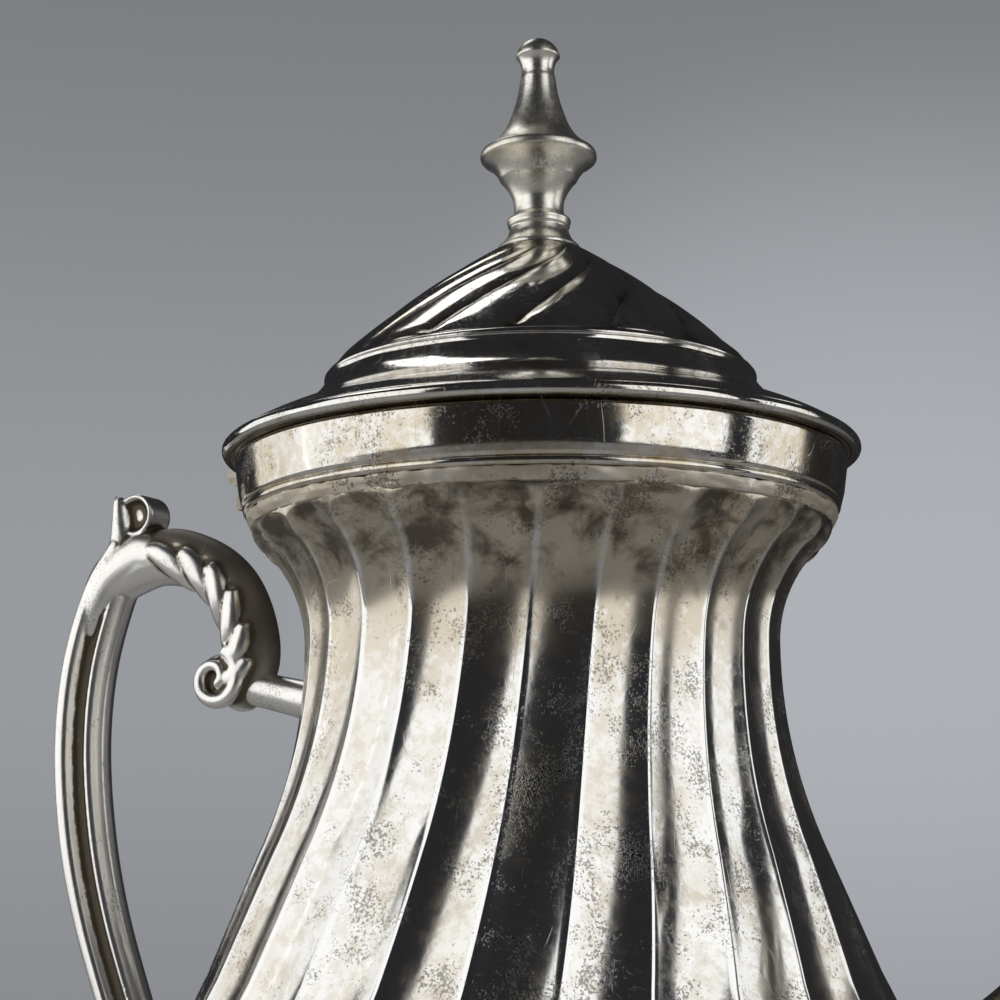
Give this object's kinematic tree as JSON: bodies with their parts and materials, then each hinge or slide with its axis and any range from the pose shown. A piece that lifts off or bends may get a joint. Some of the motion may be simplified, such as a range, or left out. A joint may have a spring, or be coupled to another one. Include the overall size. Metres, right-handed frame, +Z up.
{
  "type": "coffee pot",
  "caption": "Pear-shaped silver-plated coffee pot with twisted flutes, hinged domed lid, cast scroll handle, swan-neck spout and spreading foot.",
  "frame": {"origin": "centre of the foot's underside, on the surface the pot stands on", "axes": "+Z up along the pot's axis; +X towards the spout, -X towards the handle and hinge; +Y to the left when looking from the handle to the spout"},
  "size_m": [0.1955, 0.1184, 0.2654],
  "materials": {
    "plated_body": "polished silver plate, tarnished and finely scratched",
    "plated_plain": "polished silver plate",
    "plated_lid": "polished silver plate, darker with tarnish",
    "cast_silver": "cast and plated, dark tarnish in the hollows",
    "solder": "rough, oxidised solder",
    "hinge_metal": "plated, worn",
    "brass_fixing": "plain brass"
  },
  "bodies": {
    "pot": {"body_shell": "plated_body", "neck_collar": "plated_plain", "collar_wire": "plated_plain", "solder_band": "solder", "foot_shell": "plated_body", "foot_rim_wire": "plated_plain", "foot_joint_ring": "plated_plain", "hinge_pin": "hinge_metal", "hinge_body_leaf": "hinge_metal", "spout": "plated_body", "handle": "cast_silver", "handle_upper_socket": "cast_silver", "handle_lower_pad": "cast_silver"},
    "lid": {"lid_dome": "plated_lid", "lid_rim": "plated_plain", "lid_bezel": "plated_lid", "finial": "cast_silver", "finial_stud": "brass_fixing", "finial_washer": "brass_fixing", "finial_nut": "brass_fixing", "hinge_lid_leaf": "hinge_metal"}
  },
  "joints": [
    {"name": "lid_hinge", "type": "hinge", "parent": "pot", "child": "lid", "pos_m": [-0.0505, 0, 0.2012], "axis": [0, -1, 0], "range_deg": [0, 100]}
  ]
}
